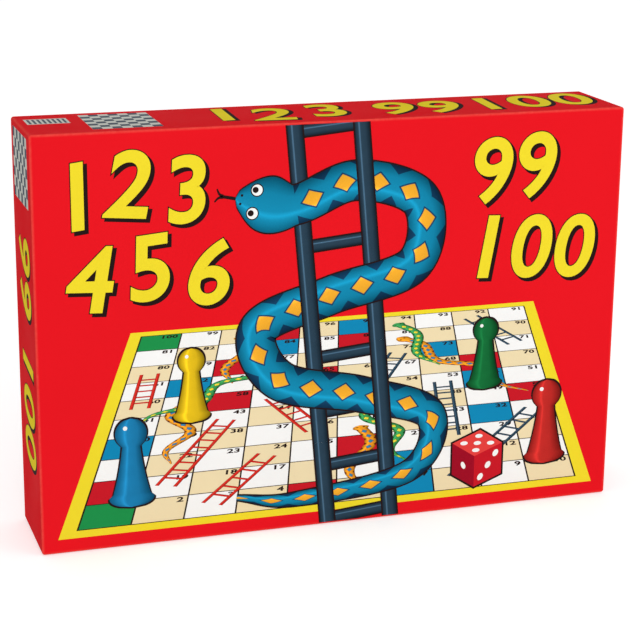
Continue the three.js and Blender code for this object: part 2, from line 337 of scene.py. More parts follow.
def ramp(tree, factor, stops):
    """A colour ramp. A stop is a place from 0 to 1 and a colour, and the stops are in order."""
    node = add(tree, "ShaderNodeValToRGB", {"Fac": factor})
    elements = node.color_ramp.elements
    for element, (place, colour) in zip(elements, (stops[0], stops[-1])):
        element.position = place
        element.color = colour
    for place, colour in stops[1:-1]:
        elements.new(place).color = colour
    return node.outputs["Color"]


def toned(tree, factor, colour, share):
    """A colour that goes down to a share of its brightness as the factor rises."""
    return blend_colours(tree, factor, colour, shade_of(colour, share))


def strip_ink(name, colour_of, shine=SHINE):
    """A finish for strips. colour_of makes the unshaded colour from the strip's two UV axes."""
    material, tree, shader = start_finish(name, SATIN_ROUGHNESS, SATIN_SPECULAR)
    satin_film(tree, shader, object_place(tree))
    axes = split(tree, add(tree, "ShaderNodeTexCoord").outputs["UV"])
    shades = sorted({**STRIP_SHADES, STREAK: shine}.items())
    shade = ramp(tree, axes[1], [(place, grey(level)) for place, level in shades])
    lit = blend_colours(tree, 1.0, colour_of(tree, axes), shade, "MULTIPLY")
    tree.links.new(lit, shader.inputs["Base Color"])
    return material


def painted(colour):
    """Brushed colour: a little deeper here and there along the strip."""
    def colour_of(tree, axes):
        streaks = noise(tree, object_place(tree), scale=160.0, detail=4.0)
        return toned(tree, streaks, colour, BRUSHED)
    return colour_of


INKS["ladder"] = strip_ink("ink_ladder", painted(LADDER_RED))
INKS["slate"] = strip_ink("ink_slate", painted(SLATE), SLATE_SHINE)
INKS.update({name: strip_ink("ink_" + name, painted(colour)) for name, colour in PAWN_COLOURS.items()})
print("mixed", 2 + len(PAWN_COLOURS), "painted inks")

# %% [markdown]
# Snake skin
#
# The snakes carry a row of diamonds down the back, each with a dark rim, and dark points along both
# flanks. Films of their own could make these marks, but they would have to be bent with the body.
# In the strip's UV map one measure gives them all: it is 0 in the middle of a diamond and largest on
# the flank between two diamonds, and bands of it get the colours. The head, ahead of the neck where
# the UV starts, stays plain.

# %% Mix the snake skins
ALONG_SHARE, ACROSS_SHARE = 0.84, 1.16
DIAMOND_END, RIM_END, BACK_END = 0.25, 0.31, 0.74
BLUR = 0.02
SKINS = {
    "big_snake": ((0.008, 0.250, 0.430, 1.0), (0.90, 0.42, 0.03, 1.0), (0.01, 0.06, 0.14, 1.0), 22.0),
    "green_snake": ((0.05, 0.36, 0.10, 1.0), (0.90, 0.74, 0.05, 1.0), (0.01, 0.09, 0.02, 1.0), 9.0),
    "orange_snake": ((0.88, 0.34, 0.02, 1.0), (0.03, 0.24, 0.42, 1.0), (0.25, 0.04, 0.01, 1.0), 9.0),
}


def bands(*ends_and_colours):
    """Stops for even bands: each colour holds up to its end and blurs into the next."""
    stops = []
    start = 0.0
    for end, colour in ends_and_colours:
        stops += [(start, colour), (end, colour)]
        start = end + BLUR
    return stops


def snake_skin(back, diamond, flank, pitch):
    """Back, diamonds, flanks with the diamonds' rims, and millimetres from diamond to diamond."""
    def colour_of(tree, axes):
        beat = maths(tree, "FRACT", maths(tree, "DIVIDE", axes[0], pitch))
        along = maths(tree, "ABSOLUTE", maths(tree, "SUBTRACT", beat, 0.5))
        across = maths(tree, "ABSOLUTE", maths(tree, "SUBTRACT", axes[1], 0.5))
        weighted = maths(tree, "MULTIPLY", across, ACROSS_SHARE)
        spread = maths(tree, "ADD", maths(tree, "MULTIPLY", along, ALONG_SHARE), weighted)
        marks = bands((DIAMOND_END, diamond), (RIM_END, flank), (BACK_END, back), (1.0, flank))
        on_body = maths(tree, "LESS_THAN", axes[0], 0.0)
        return blend_colours(tree, on_body, back, ramp(tree, spread, marks))
    return colour_of


INKS.update({name: strip_ink("ink_" + name, snake_skin(*skin)) for name, skin in SKINS.items()})
print("mixed", len(SKINS), "snake skins")

# %% [markdown]
# Ink films
#
# Printing is mostly made as an image texture. Here it is modelled as films a hundredth of a
# millimetre thick, so that it is real geometry, sharp at any distance, and moves with its paper. A
# drawing is flat, in millimetres (x to the right, y up, z out of the paper), and holds one bmesh
# for each ink, as a press has one plate for each ink. The films stack in layers, which decide what
# covers what.

# %% Draw flat shapes
LAYER = 0.012
FILM = 0.008


def new_drawing():
    """A bmesh for each ink, made when the ink is first used."""
    return defaultdict(bmesh.new)


def raise_film(bm, faces):
    """Gives flat faces their thickness and keeps the underside, so the film is a closed solid."""
    made = bmesh.ops.extrude_face_region(bm, geom=faces, use_keep_orig=True)
    tops = [item for item in made["geom"] if isinstance(item, bmesh.types.BMVert)]
    bmesh.ops.translate(bm, verts=tops, vec=(0.0, 0.0, FILM))


def draw_outline(bm, points, layer):
    corners = [bm.verts.new((x, y, layer * LAYER)) for x, y in points]
    raise_film(bm, [bm.faces.new(corners)])


def draw_block(bm, x0, y0, x1, y1, layer):
    draw_outline(bm, [(x0, y0), (x1, y0), (x1, y1), (x0, y1)], layer)


def draw_ellipse(bm, centre, right, up, layer, steps=24):
    """An ellipse from its middle and two half axes, which may be slanted."""
    angles = [2 * math.pi * i / steps for i in range(steps)]
    draw_outline(bm, [centre + right * math.cos(a) + up * math.sin(a) for a in angles], layer)


def draw_disc(bm, centre, radius, layer, steps=24):
    draw_ellipse(bm, centre, Vector((radius, 0.0)), Vector((0.0, radius)), layer, steps)


print("films are", FILM, "mm thick and lie", LAYER, "mm apart")

# %% [markdown]
# Numbers
#
# Blender's own font makes the numbers. Its strokes are thin, and moving the outlines outwards (the
# curve's offset) folds them over in the notches of a 6 or a 9. A bevel doesn't: it swells the strokes
# by its depth and stays one closed solid, which is then pressed flat to the film's thickness. The
# text is made a mesh before it is laid in its place.

# %% Set numbers
SPACING = 1.06


def draw_number(bm, text, size, centre, layer, weight, lean=0.0, slant=0.0, smoothness=3):
    """A plain number, its strokes swollen by weight on each side."""
    curve = bpy.data.curves.new("number", "FONT")
    curve.body = text
    curve.size = size
    curve.shear = slant
    curve.space_character = SPACING
    curve.bevel_depth = weight
    curve.bevel_resolution = 0
    curve.resolution_u = smoothness
    curve.align_x = "CENTER"
    curve.align_y = "CENTER"
    holder = bpy.data.objects.new("number", curve)
    scene.collection.objects.link(holder)
    shaped = holder.evaluated_get(bpy.context.evaluated_depsgraph_get())
    mesh = bpy.data.meshes.new_from_object(shaped)
    mesh.shade_flat()
    flatten = Matrix.Diagonal((1.0, 1.0, FILM / (2 * weight), 1.0))
    lay = Matrix.Translation((centre[0], centre[1], layer * LAYER + FILM / 2))
    mesh.transform(lay @ Matrix.Rotation(lean, 4, "Z") @ flatten)
    bm.from_mesh(mesh)
    bpy.data.objects.remove(holder)
    bpy.data.curves.remove(curve)
    bpy.data.meshes.remove(mesh)


print("the digits of a number are set", SPACING, "times as far apart as usual")

# %% [markdown]
# Strips
#
# A snake, a rail or a pawn's outline is a strip: a path, and a half width that may change along it.
# A curve object with a bevel can follow a path too, but it makes a tube, without a UV map from one
# edge to the other. So a grid with one row of squares for each step is pulled onto the path, and
# gets its UV map on the way.

# %% Draw strips
NUDGE = 0.002
BAR_STEPS = 2


def draw_ribbon(bm, path, half_width, steps, layer, across=4, origin=0.0):
    """A strip along path(t), t from 0 to 1. UV: millimetres from t = origin, and 0 to 1 across."""
    spots = [path(i / steps) for i in range(steps + 1)]
    travel = [0.0]
    for a, b in zip(spots, spots[1:]):
        travel.append(travel[-1] + (b - a).length)
    start = travel[round(origin * steps)]
    strip = bmesh.ops.create_grid(bm, x_segments=steps, y_segments=across, size=0.5)["verts"]
    uv_of = {}
    for vert in strip:
        i = round((vert.co.x + 0.5) * steps)
        side = vert.co.y * 2.0
        ahead = path(min(i / steps + NUDGE, 1.0)) - path(max(i / steps - NUDGE, 0.0))
        normal = Vector((-ahead.y, ahead.x)).normalized()
        spot = spots[i] + normal * half_width(i / steps) * side
        uv_of[vert] = (travel[i] - start, side / 2 + 0.5)
        vert.co = (spot.x, spot.y, layer * LAYER)
    uv = bm.loops.layers.uv.verify()
    faces = list(dict.fromkeys(face for vert in strip for face in vert.link_faces))
    for face in faces:
        for loop in face.loops:
            loop[uv].uv = uv_of[loop.vert]
    raise_film(bm, faces)


def straight(a, b):
    a, b = Vector(a), Vector(b)
    return lambda t: a.lerp(b, t)


def draw_straight(bm, start, end, half, layer):
    """A straight strip of even width."""
    draw_ribbon(bm, straight(start, end), lambda t: half, BAR_STEPS, layer)


print("a straight strip has", BAR_STEPS, "steps")

# %% [markdown]
# From drawings to pieces
#
# A press prints ink after ink on one sheet of paper. In the same way a drawing is pressed on a side
# of the box by a placement matrix, what is pressed on one sheet is gathered ink by ink, and each ink
# of a sheet then becomes one piece. One piece for each shape would work too, but would make hundreds
# of pieces that never move apart.

# %% Gather sheets
SEAM = 0.0001


def finish_mesh(name, bm, placement):
    """Closes a shape's seams, places it and turns its faces outwards."""
    bmesh.ops.remove_doubles(bm, verts=bm.verts, dist=SEAM)
    bmesh.ops.transform(bm, matrix=placement, verts=bm.verts)
    bmesh.ops.recalc_face_normals(bm, faces=bm.faces)
    mesh = bpy.data.meshes.new(name)
    bm.to_mesh(mesh)
    bm.free()
    return mesh


def make_piece(name, mesh, material, body):
    piece = bpy.data.objects.new(name, mesh)
    scene.collection.objects.link(piece)
    mesh.materials.append(material)
    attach(piece, body)
    return piece


def press(sheet, drawing, placement):
    """Lays a drawing on a side and adds it, ink by ink, to a sheet."""
    for ink, bm in drawing.items():
        mesh = finish_mesh("pressed", bm, placement)
        sheet[ink].from_mesh(mesh)
        bpy.data.meshes.remove(mesh)


def finish_sheet(name, sheet, body):
    faces = 0
    for ink, bm in sheet.items():
        mesh = bpy.data.meshes.new(f"{name}_{ink}")
        bm.to_mesh(mesh)
        bm.free()
        make_piece(f"{name}_{ink}", mesh, INKS[ink], body)
        faces += len(mesh.polygons)
    print("printed", name, "in", len(sheet), "inks with", faces, "faces")


print("corners closer than", SEAM, "mm are joined")

# %% [markdown]
# The sides of the box
#
# The lid is printed on its face and three walls, and the base on its back. Prints can be moved and
# turned into place by hand. Here each side has a placement matrix that is measured on the packed
# papers, so the printing stays on them whatever their size. Paper is read from outside, so a placement
# starts at the lower left corner of its side, as someone who reads that side sees it.

# %% Place the sides
MM = 0.001


def surface(origin, right, up):
    """Matrix from a drawing in millimetres to a side of the box."""
    right, up = Vector(right), Vector(up)
    columns = Matrix((right * MM, up * MM, right.cross(up) * MM)).transposed().to_4x4()
    return Matrix.Translation(origin) @ columns


lid_low, lid_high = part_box("lid_cover_paper")
base_low, base_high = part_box("base_cover_paper")
FACE_HEIGHT = (lid_high.z - lid_low.z) / MM
FACE = surface(lid_low, (1, 0, 0), (0, 0, 1))
TOP = surface((lid_low.x, lid_low.y, lid_high.z), (1, 0, 0), (0, 1, 0))
LEFT = surface((lid_low.x, lid_high.y, lid_low.z), (0, -1, 0), (0, 0, 1))
RIGHT = surface((lid_high.x, lid_low.y, lid_low.z), (0, 1, 0), (0, 0, 1))
BACK = surface((base_high.x, base_high.y, base_low.z), (-1, 0, 0), (0, 0, 1))
print("the lid's face is", round(FACE_HEIGHT), "mm high")

# %% [markdown]
# The game board: squares
#
# The board is the traditional one: ten rows of ten squares, numbered to and fro from the bottom. An
# image of it would have to be sharp at three sizes: life size on the folding board, in perspective
# on the lid and small on the back of the box. So it is drawn once as films, flat and square, and
# copied three times. First the squares get their places and inks.

# %% Number the squares
ROWS = 10
LAST = ROWS * ROWS
SIDE = 350.0
BORDER = 10.0
CELL = (SIDE - 2 * BORDER) / ROWS
RED_CELLS = (5, 20, 26, 50, 58, 65, 69, 78, 86, 97)
BLUE_CELLS = (7, 14, 32, 40, 47, 52, 62, 73, 84, 95)


def cell_of(number):
    """The row and column of a square. Every second row runs back from right to left."""
    row, step = divmod(number - 1, ROWS)
    return row, step if row % 2 == 0 else ROWS - 1 - step


def middle_of(number):
    row, column = cell_of(number)
    return Vector((BORDER + CELL * (column + 0.5), BORDER + CELL * (row + 0.5)))


def cell_ink(number):
    row, column = cell_of(number)
    if number in (1, LAST):
        return "green"
    if number in RED_CELLS:
        return "red"
    if number in BLUE_CELLS:
        return "blue"
    return "cream" if (row + column) % 2 else "white"


print("square", LAST, "has its middle at", list(middle_of(LAST)), "mm")

# %% [markdown]
# The game board: ladders
#
# A printed ladder is two rails and a row of rungs. An Array modifier could repeat the rungs. A loop
# does it here, because every ladder has its own length and slant, and the rungs have to come out at
# an even pitch between its foot and its head.

# %% Draw ladders
LADDERS = [(3, 24), (8, 31), (19, 43), (28, 53), (36, 57), (46, 74), (60, 80), (71, 92)]
RUNG_SHARE = 0.9


def draw_ladder(drawing, ink, foot, head, layer, half_gauge=6.5, half_rail=1.4, pitch=11.0):
    along = (head - foot).normalized()
    across = Vector((-along.y, along.x)) * half_gauge
    for side in (across, -across):
        draw_straight(drawing[ink], foot + side, head + side, half_rail, layer + 1)
    rungs = int((head - foot).length / pitch)
    for i in range(1, rungs):
        spot = foot.lerp(head, i / rungs)
        draw_straight(drawing[ink], spot - across, spot + across, half_rail * RUNG_SHARE, layer)


print("ladders climb", [head - foot for foot, head in LADDERS], "squares")

# %% [markdown]
# The game board: snakes
#
# A printed snake is one strip from tail to snout. Its bends could be drawn by hand as a Bezier curve.
# A formula is shorter for seven of them: the path sways to both sides of a straight line, less so
# near its ends, and the width makes a tapered tail, an even body and a head that swells and closes in
# a round snout. The same width makes the big snake on the lid.

# %% Draw snakes
SNAKES = [(98, 63), (94, 68), (87, 50), (77, 41), (62, 22), (55, 14), (35, 6)]
TAIL_TIP, TAIL_LENGTH = 0.12, 0.45
HEAD_SWELL, HEAD_LENGTH = 0.45, 0.9
SNOUT_TIP = 0.004
WAVE = 70.0
SNAKE_STEPS = 90
EYE_SPREAD, EYE_SIZE = 0.55, 0.2


def snake_width(body, neck):
    """Half width of a snake from tail (t = 0) to snout (t = 1): taper, body, neck and head."""
    def width(t):
        if t < neck:
            taper = math.sin(min(t / TAIL_LENGTH, 1.0) * math.pi / 2)
            return body * (TAIL_TIP + (1.0 - TAIL_TIP) * taper)
        s = (t - neck) / (1.0 - neck)
        head = 1.0 + HEAD_SWELL * math.sin(math.pi * min(s / HEAD_LENGTH, 1.0))
        return body * head * math.sqrt(max(1.0 - s ** 4, SNOUT_TIP))
    return width


def snake_path(head, tail, sway=9.0):
    along = head - tail
    across = Vector((-along.y, along.x)).normalized()
    waves = max(1, round(along.length / WAVE))

    def path(t):
        calm = math.sqrt(max(math.sin(math.pi * t), 0.0))
        return tail + along * t + across * sway * calm * math.sin(2 * math.pi * waves * t)

    return path


def draw_snake(drawing, ink, path, body, neck, layer):
    draw_ribbon(drawing[ink], path, snake_width(body, neck), SNAKE_STEPS, layer, origin=neck)
    brow = path((1.0 + neck) / 2)
    along = (path(1.0) - brow).normalized()
    across = Vector((-along.y, along.x)) * body * EYE_SPREAD
    for eye in (brow + across, brow - across):
        draw_disc(drawing["dark"], eye, body * EYE_SIZE, layer + 2, steps=12)


print("snakes slide", [head - tail for head, tail in SNAKES], "squares")

# %% [markdown]
# The game board: all of it
#
# Now the board is put together from the bottom layer up: grid lines, squares, numbers, ladders and
# snakes. The lines could be the gaps between the squares, but a dark sheet below would then be the
# ground of everything. Lines of their own leave the ground to the paper.

# %% Draw the whole board
GRID_LINE = 1.1
NUMBER = 9.0
NUMBER_WEIGHT = 0.32
DIGIT_WIDTH = 0.55 * NUMBER
NUMBER_INSET = Vector((0.20, 0.55)) * NUMBER
SMALL_BODY, SMALL_NECK = 4.4, 0.93
CELL_LAYER, NUMBER_LAYER, LADDER_LAYER, SMALL_LAYER = 1, 2, 3, 5
BOARD_LAYERS = 10


def draw_grid(bm, low, cell, line):
    """The lines between the squares, the upright ones a layer above the level ones."""
    start, end = low - line / 2, low + ROWS * cell + line / 2
    for i in range(ROWS + 1):
        near, far = start + i * cell, start + i * cell + line
        draw_block(bm, start, near, end, far, 0)
        draw_block(bm, near, start, far, end, 1)


def board_drawing():
    drawing = new_drawing()
    draw_grid(drawing["dark"], BORDER, CELL, GRID_LINE)
    half = (CELL - GRID_LINE) / 2
    for number in range(1, LAST + 1):
        spot = middle_of(number)
        square = (spot.x - half, spot.y - half, spot.x + half, spot.y + half)
        draw_block(drawing[cell_ink(number)], *square, CELL_LAYER)
        text = str(number)
        corner = spot + Vector((half - len(text) * DIGIT_WIDTH / 2, half)) - NUMBER_INSET
        draw_number(drawing["dark"], text, NUMBER, corner, NUMBER_LAYER, NUMBER_WEIGHT)
    for i, (foot, head) in enumerate(LADDERS):
        ink = ("ladder", "slate")[i % 2]
        draw_ladder(drawing, ink, middle_of(foot), middle_of(head), LADDER_LAYER)
    for i, (head, tail) in enumerate(SNAKES):
        ink = ("orange_snake", "green_snake")[i % 2]
        path = snake_path(middle_of(head), middle_of(tail))
        draw_snake(drawing, ink, path, SMALL_BODY, SMALL_NECK, SMALL_LAYER + i % 2)
    return drawing


BOARD = board_drawing()
print("the board has", sum(len(bm.faces) for bm in BOARD.values()), "faces in", len(BOARD), "inks")

# %% [markdown]
# Lid print: the board in perspective
#
# On the lid the board lies tilted, as if on a table. A second camera could take that picture, but
# then it would be an image. Instead the flat drawing is pulled to four corners by a projective map,
# which is what a camera does to a flat square. Here the board also needs a yellow ground, one layer
# lower, whose edge shows as the border. On the folding board the face sheet itself is yellow.

# %% Print the board on the lid
PRINTED_CORNERS = [(10.0, 9.0), (365.0, 9.0), (318.0, 136.0), (57.0, 136.0)]


def to_corners(bm, corners):
    """Moves the square drawing so that its corners land on the given ones, in perspective."""
    (x0, y0), (x1, y1), (x2, y2), (x3, y3) = corners
    dx1, dx2, sx = x1 - x2, x3 - x2, x0 - x1 + x2 - x3
    dy1, dy2, sy = y1 - y2, y3 - y2, y0 - y1 + y2 - y3
    det = dx1 * dy2 - dx2 * dy1
    g = (sx * dy2 - dx2 * sy) / det
    h = (dx1 * sy - sx * dy1) / det
    for vert in bm.verts:
        s, t = vert.co.x / SIDE, vert.co.y / SIDE
        w = g * s + h * t + 1.0
        vert.co.x = ((x1 - x0 + g * x1) * s + (x3 - x0 + h * x3) * t + x0) / w
        vert.co.y = ((y1 - y0 + g * y1) * s + (y3 - y0 + h * y3) * t + y0) / w


def copy_of_board():
    drawing = new_drawing()
    drawing.update({ink: bm.copy() for ink, bm in BOARD.items()})
    return drawing


def bordered_board():
    drawing = copy_of_board()
    draw_block(drawing["yellow"], 0.0, 0.0, SIDE, SIDE, -1)
    return drawing


def raised(layers):
    return Matrix.Translation((0.0, 0.0, layers * LAYER))


ON_PAPER = raised(1)
lid_sheet = new_drawing()
drawing = bordered_board()
for bm in drawing.values():
    to_corners(bm, PRINTED_CORNERS)
press(lid_sheet, drawing, FACE @ ON_PAPER)
print("the lid's board is", PRINTED_CORNERS[1][0] - PRINTED_CORNERS[0][0], "mm wide")

# %% [markdown]
# Lid print: ladder and snake
#
# A tall slate-coloured ladder runs up the middle of the lid, off both edges, and a big snake winds
# through it. On paper one would leave out what is hidden. With films the order of the layers makes
# the weave: each rail is cut half way between the places where it meets the snake, and its pieces
# pass over and under by turns. So the script first looks for those places.

# %% Find where the rails meet the snake
LADDER_FOOT = Vector((204.0, -12.0))
LADDER_HEAD = Vector((178.0, 272.0))
HALF_GAUGE = 21.0
RAIL_HALF = 4.6
SNAKE_BENDS = [(122.0, 24.0), (160.0, 19.0), (236.0, 30.0), (250.0, 66.0), (204.0, 84.0), (150.0, 98.0),
               (136.0, 132.0), (182.0, 150.0), (236.0, 166.0), (240.0, 206.0), (198.0, 221.0),
               (158.0, 208.0), (122.0, 214.0)]
SNAKE_HALF = 12.0
SNAKE_NECK = 0.915


def winding(points):
    """A smooth path through points: at each point it runs the way its two neighbours lie."""
    knots = [Vector(p) for p in points]
    knots = [2 * knots[0] - knots[1]] + knots + [2 * knots[-1] - knots[-2]]
    spans = len(knots) - 3

    def path(t):
        i = min(int(t * spans), spans - 1)
        s = t * spans - i
        a, b, c, d = knots[i:i + 4]
        return 0.5 * (2 * b + (c - a) * s + (2 * a - 5 * b + 4 * c - d) * s * s
                      + (3 * b - a - 3 * c + d) * s ** 3)

    return path


def meetings(way, other, reach, steps=400):
    """The stretches of way(t) that come within reach of the other path."""
    marks = [other(i / steps) for i in range(steps + 1)]
    stretches = []
    for i in range(steps + 1):
        if min((way(i / steps) - mark).length for mark in marks) < reach:
            if stretches and stretches[-1][1] == i - 1:
                stretches[-1][1] = i
            else:
                stretches.append([i, i])
    return [(first / steps, last / steps) for first, last in stretches]


snake_way = winding(SNAKE_BENDS)
along = (LADDER_HEAD - LADDER_FOOT).normalized()
across = Vector((-along.y, along.x)) * HALF_GAUGE
rails = [straight(LADDER_FOOT + side, LADDER_HEAD + side) for side in (across, -across)]
met = [meetings(rail, snake_way, SNAKE_HALF + RAIL_HALF) for rail in rails]
print("the rails meet the snake", [len(stretches) for stretches in met], "times")

# %% [markdown]
# Every rail and rung gets its outline from a dark strip below it that is a little wider. The ladder
# is drawn too long and then trimmed at the rounded edges, so that its ends follow the lid's edge and
# not their own slant.

# %% Print the ladder
RUNG_HALF = 3.4
RUNGS = 8
OUTLINE = 1.0
ROUNDING = 1.3
RUNG_LAYER, UNDER, SNAKE_LAYER, OVER = 0, 2, 4, 7
ABOVE_BOARD = raised(BOARD_LAYERS)


def trim(bm, point, normal):
    """Cuts away what lies beyond a plane and closes the cut."""
    geom = bm.verts[:] + bm.edges[:] + bm.faces[:]
    cut = bmesh.ops.bisect_plane(bm, geom=geom, plane_co=point, plane_no=normal, clear_outer=True)
    rim = [edge for edge in cut["geom_cut"] if isinstance(edge, bmesh.types.BMEdge)]
    bmesh.ops.holes_fill(bm, edges=rim)


def draw_bar(drawing, start, end, half, layer):
    draw_straight(drawing["dark"], start, end, half + OUTLINE, layer)
    draw_straight(drawing["slate"], start, end, half, layer + 1)


picture = new_drawing()
for rail, stretches, turns in zip(rails, met, ((OVER, UNDER), (UNDER, OVER))):
    cuts = [0.0] + [(a[1] + b[0]) / 2 for a, b in zip(stretches, stretches[1:])] + [1.0]
    for i, (start, end) in enumerate(zip(cuts, cuts[1:])):
        draw_bar(picture, rail(start), rail(end), RAIL_HALF, turns[i % 2])
for i in range(RUNGS):
    spot = LADDER_FOOT.lerp(LADDER_HEAD, (i + 0.5) / RUNGS)
    draw_bar(picture, spot + across, spot - across, RUNG_HALF, RUNG_LAYER)
for bm in picture.values():
    trim(bm, (0.0, FACE_HEIGHT - ROUNDING, 0.0), (0.0, 1.0, 0.0))
    trim(bm, (0.0, ROUNDING, 0.0), (0.0, -1.0, 0.0))
print("the ladder has", RUNGS, "rungs")

# %% [markdown]
# The snake's body is a strip like the small snakes', with more steps. Eyes, nostrils and a forked
# tongue are placed from the tip of the snout, forwards and to the side, so that they stay on the head
# wherever the path ends.

# %% Print the snake
BIG_STEPS = 300
LOOK_BACK = 0.98
EYE_BACK, EYE_ASIDE = 12.0, 7.2
EYE_RIM, EYE_WHITE, PUPIL = 4.1, 3.4, 1.9
PUPIL_AHEAD = 1.0
NOSTRIL_BACK, NOSTRIL_ASIDE, NOSTRIL = 3.4, 2.6, 0.8
TONGUE, TONGUE_ROOT, TONGUE_HALF = 8.0, 2.0, 1.0
PRONG = [(0.0, 0.3), (2.5, 1.2), (4.5, 4.0)]
PRONG_STEPS = 8
PRONG_TAPER = 0.6

body_width = snake_width(SNAKE_HALF, SNAKE_NECK)
draw_ribbon(picture["dark"], snake_way, lambda t: body_width(t) + OUTLINE, BIG_STEPS, SNAKE_LAYER)
draw_ribbon(picture["big_snake"], snake_way, body_width, BIG_STEPS, SNAKE_LAYER + 1,
            across=6, origin=SNAKE_NECK)
snout = snake_way(1.0)
ahead = (snout - snake_way(LOOK_BACK)).normalized()
beside = Vector((-ahead.y, ahead.x))


def on_head(forwards, aside=0.0):
    return snout + ahead * forwards + beside * aside


draw_straight(picture["dark"], on_head(-TONGUE_ROOT), on_head(TONGUE), TONGUE_HALF, SNAKE_LAYER - 1)
for side in (1.0, -1.0):
    eye = on_head(-EYE_BACK, side * EYE_ASIDE)
    draw_disc(picture["dark"], eye, EYE_RIM, SNAKE_LAYER + 2)
    draw_disc(picture["white"], eye, EYE_WHITE, SNAKE_LAYER + 3)
    draw_disc(picture["dark"], eye + ahead * PUPIL_AHEAD, PUPIL, SNAKE_LAYER + 4)
    draw_disc(picture["dark"], on_head(-NOSTRIL_BACK, side * NOSTRIL_ASIDE), NOSTRIL, SNAKE_LAYER + 2)
    prong = winding([on_head(TONGUE + forwards, side * aside) for forwards, aside in PRONG])
    draw_ribbon(picture["dark"], prong, lambda t: TONGUE_HALF - PRONG_TAPER * t, PRONG_STEPS,
                SNAKE_LAYER - 2)
press(lid_sheet, picture, FACE @ ABOVE_BOARD)
print("the snake's head is at", [round(v) for v in snout], "mm")

# %% [markdown]
# Lid print: big numbers
#
# Big yellow numbers with a dark outline and a drop shadow stand on both sides of the ladder: the
# first ones to the left and the last ones to the right. One text object could hold a whole row. Here
# each number is set, turned and lifted by itself, so that the row dances. Three films make one
# number: the shadow, the outline and the yellow. The walls carry rows in the same style.

# %% Print the big numbers
SLANT = 0.12
WEIGHT = 0.018
RIM = 0.6
DROP = 0.034
BIG_SMOOTHNESS = 10
BIG_NUMBER, END_NUMBER = 56.0, 50.0
FACE_ROW = [
    ("1", 25, 218, 7), ("2", 56, 224, -5), ("3", 91, 219, 4),
    ("4", 32, 168, -3), ("5", 68, 173, 5), ("6", 104, 168, -4),
    ("99", 300, 221, 4), ("100", 313, 170, -3),
]
TOP_ROW = [
    ("1", 122, 35, 4), ("2", 152, 29, -4), ("3", 188, 34, 4),
    ("99", 246, 30, -3), ("100", 323, 33, 3),
]
END_ROW = [("99", 32, 170, -90), ("100", 32, 88, -90)]


def draw_row(drawing, row, size):
    """Numbers with their middles in millimetres and their lean in degrees."""
    weight = size * WEIGHT
    for text, x, y, lean in row:
        shape = (math.radians(lean), SLANT, BIG_SMOOTHNESS)
        shadow = (x + size * DROP, y - size * DROP)
        draw_number(drawing["dark"], text, size, shadow, 0, weight + RIM, *shape)
        draw_number(drawing["dark"], text, size, (x, y), 1, weight + RIM, *shape)
        draw_number(drawing["yellow"], text, size, (x, y), 2, weight, *shape)


for placement, row, size in ((FACE, FACE_ROW, BIG_NUMBER), (TOP, TOP_ROW, BIG_NUMBER),
                             (LEFT, END_ROW, END_NUMBER), (RIGHT, END_ROW, END_NUMBER)):
    drawing = new_drawing()
    draw_row(drawing, row, size)
    press(lid_sheet, drawing, placement @ ON_PAPER)
    print("set", len(row), "numbers of", size, "mm")

# %% [markdown]
# Lid print: checks and stripes
#
# Near one end the top wall carries a patch of stripes and one of checks, and the end wall another one
# of checks. A checker texture would do for the colour. As films they match the rest of the printing:
# a pale ground with grey bars or squares on it.

# %% Print the checks and stripes
STRIPE = 1.5
CHECK = 6.0
HAIR = 0.1
TOP_STRIPES, TOP_CHECKS, END_CHECKS = (5.0, 33.0), (39.0, 9.0), (6.0, 212.0)


def draw_stripes(drawing, x0, y0, bars, height):
    draw_block(drawing["pale"], x0, y0, x0 + (2 * bars + 1) * STRIPE, y0 + height + 2 * STRIPE, 0)
    for i in range(bars):
        x, y = x0 + (2 * i + 1) * STRIPE, y0 + STRIPE
        draw_block(drawing["grey"], x, y, x + STRIPE, y + height, 1)


def draw_checks(drawing, x0, y0, columns, rows):
    """Grey squares on a pale ground, a hair apart where their corners would meet."""
    draw_block(drawing["pale"], x0, y0, x0 + columns * CHECK, y0 + rows * CHECK, 0)
    for i in range(columns):
        for j in range(i % 2, rows, 2):
            x, y = x0 + i * CHECK, y0 + j * CHECK
            draw_block(drawing["grey"], x + HAIR, y + HAIR, x + CHECK - HAIR, y + CHECK - HAIR, 1)


on_top, on_end = new_drawing(), new_drawing()
draw_stripes(on_top, *TOP_STRIPES, bars=8, height=14.0)
draw_checks(on_top, *TOP_CHECKS, columns=7, rows=8)
draw_checks(on_end, *END_CHECKS, columns=8, rows=7)
press(lid_sheet, on_top, TOP @ ON_PAPER)
press(lid_sheet, on_end, LEFT @ ON_PAPER)
print("printed checks of", CHECK, "mm and stripes of", STRIPE, "mm")

# %% [markdown]
# A pawn's outline
#
# The game has four turned pawns, and the lid shows them too. One outline serves both: on the lid it
# is the width of an upright strip, and further down it is spun into the turned pawns. It could be a
# Bezier curve. Arcs and one parabola are closer to the turner's work: a rounded foot, a ledge, a
# hollow body and a ball. Each point is a radius and a height in millimetres.

# %% Outline a pawn
PAWN_HEIGHT = 30.0
HEAD = 5.6
NECK = 3.2
SKIRT, SKIRT_LOW = 6.6, 2.4
HOLLOW = 0.8
FOOT = 8.0
FOOT_ROUND = 0.8
LEDGE = [(FOOT, 1.6), (FOOT - 0.55, 1.72), (SKIRT + 0.25, 1.95), (SKIRT, SKIRT_LOW)]
FOOT_STEPS, BODY_STEPS, HEAD_STEPS = 6, 16, 24


